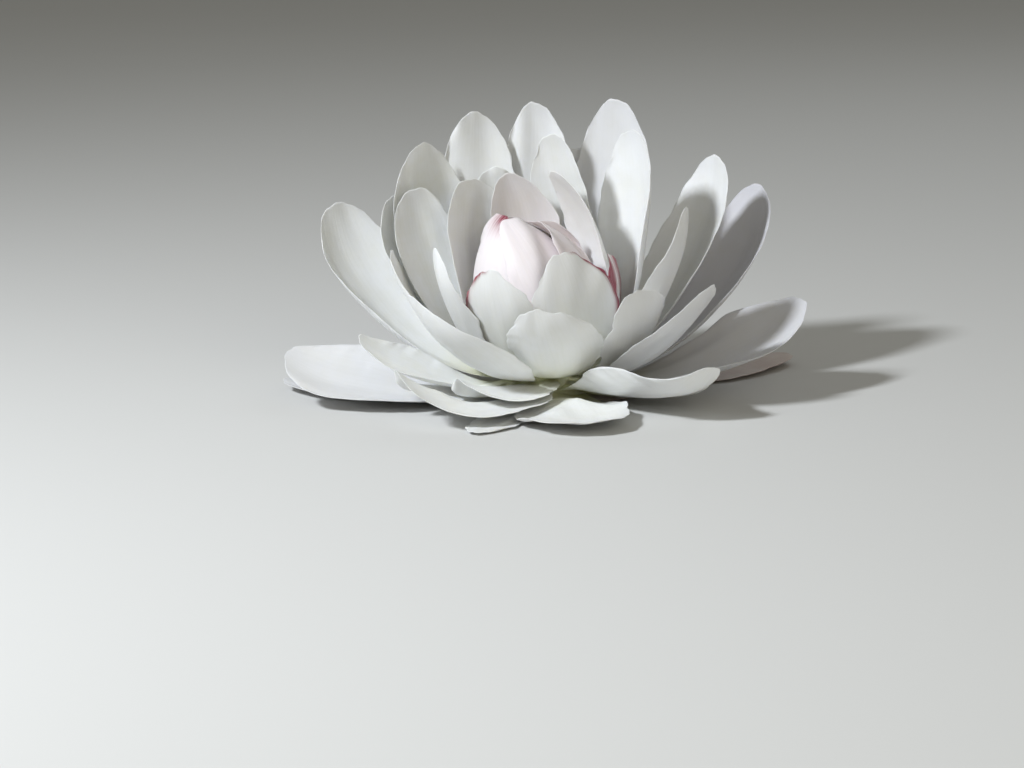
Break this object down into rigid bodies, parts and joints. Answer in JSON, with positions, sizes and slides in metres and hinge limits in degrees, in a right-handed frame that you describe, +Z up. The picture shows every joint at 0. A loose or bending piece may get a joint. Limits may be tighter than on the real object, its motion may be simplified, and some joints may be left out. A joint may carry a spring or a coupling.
{
  "type": "water lily flower",
  "caption": "Large open white water lily flower with broad layered petals around a closed blushed cone, flat sepals beneath and stamens hidden inside.",
  "frame": {"origin": "centre of the flat underside of the receptacle, which rests on the surface", "axes": "+Z up out of the flower; -Y towards the open, lower front of the flower; +X across it, along its widest spread"},
  "size_m": [0.28, 0.2483, 0.1492],
  "materials": {
    "petal": "smooth, faintly waxy, white",
    "cone_petal": "smooth, faintly waxy, pinkish white with crimson margins",
    "sepal": "matte, brownish pink",
    "receptacle": "matte, yellow green flesh",
    "stigma": "matte, cream",
    "stamen": "matte, cream"
  },
  "bodies": {
    "root": {"cone_petal_c": "cone_petal", "cone_petal_a": "cone_petal", "cone_petal_d": "cone_petal", "cone_petal_b": "cone_petal", "cone_petal_e": "cone_petal", "cone_petal_f": "cone_petal", "inner_petal_a": "petal", "inner_petal_b": "petal", "inner_petal_c": "petal", "inner_petal_d": "petal", "globe_petal_right": "petal", "inner_petal_e": "petal", "inner_petal_f": "petal", "inner_petal_g": "petal", "globe_petal_left": "petal", "upright_petal_d": "petal", "upright_petal_e": "petal", "upright_petal_a": "petal", "upright_petal_b": "petal", "upright_petal_c": "petal", "left_petal_a": "petal", "globe_petal_front": "petal", "right_petal_a": "petal", "upright_petal_f": "petal", "left_petal_b": "petal", "upright_petal_g": "petal", "right_petal_b": "petal", "right_petal_c": "petal", "left_petal_c": "petal", "upright_petal_h": "petal", "outer_petal_b": "petal", "outer_petal_c": "petal", "outer_petal_a": "petal", "outer_petal_d": "petal", "outer_petal_e": "petal", "outer_petal_f": "petal", "left_petal_d": "petal", "front_petal_a": "petal", "left_petal_e": "petal", "outer_petal_g": "petal", "outer_petal_h": "petal", "outer_petal_i": "petal", "right_petal_d": "petal", "front_petal_b": "petal", "outer_petal_j": "petal", "outer_petal_k": "petal", "outer_petal_l": "petal", "front_petal_c": "petal", "outer_petal_m": "petal", "sepal_a": "sepal", "sepal_b": "sepal", "sepal_c": "sepal", "sepal_d": "sepal", "receptacle": "receptacle", "stigma_cup": "stigma", "stamen_ring": "stamen"}
  },
  "joints": []
}
